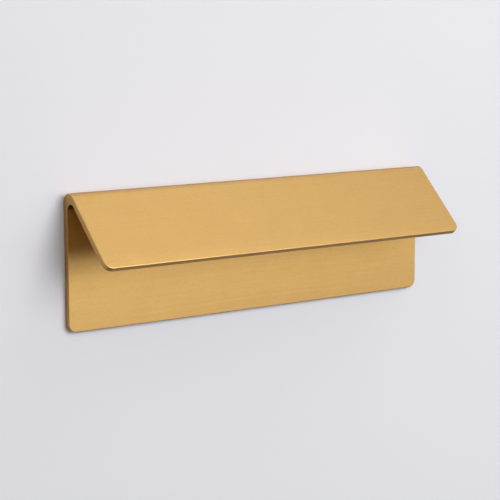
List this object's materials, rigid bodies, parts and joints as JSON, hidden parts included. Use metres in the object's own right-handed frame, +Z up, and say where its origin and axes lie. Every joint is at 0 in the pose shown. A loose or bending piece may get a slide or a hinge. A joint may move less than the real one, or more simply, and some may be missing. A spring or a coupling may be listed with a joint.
{
  "type": "tab pull",
  "caption": "Satin brass drawer pull: a flat back plate folded over at the top into a flap that slopes outward at 45 degrees, so fingers reach up behind it",
  "frame": {"origin": "midway between the two screw holes, on the rear face that lies against the drawer front", "axes": "+X along the pull, to the right seen from the front; +Y out of the rear face, into the drawer front; +Z up, towards the bend"},
  "size_m": [0.16, 0.028, 0.0489],
  "materials": {
    "satin_brass": "satin, very fine brush lines along the length, clear lacquer"
  },
  "bodies": {
    "root": {"tab_pull": "satin_brass"}
  },
  "joints": []
}
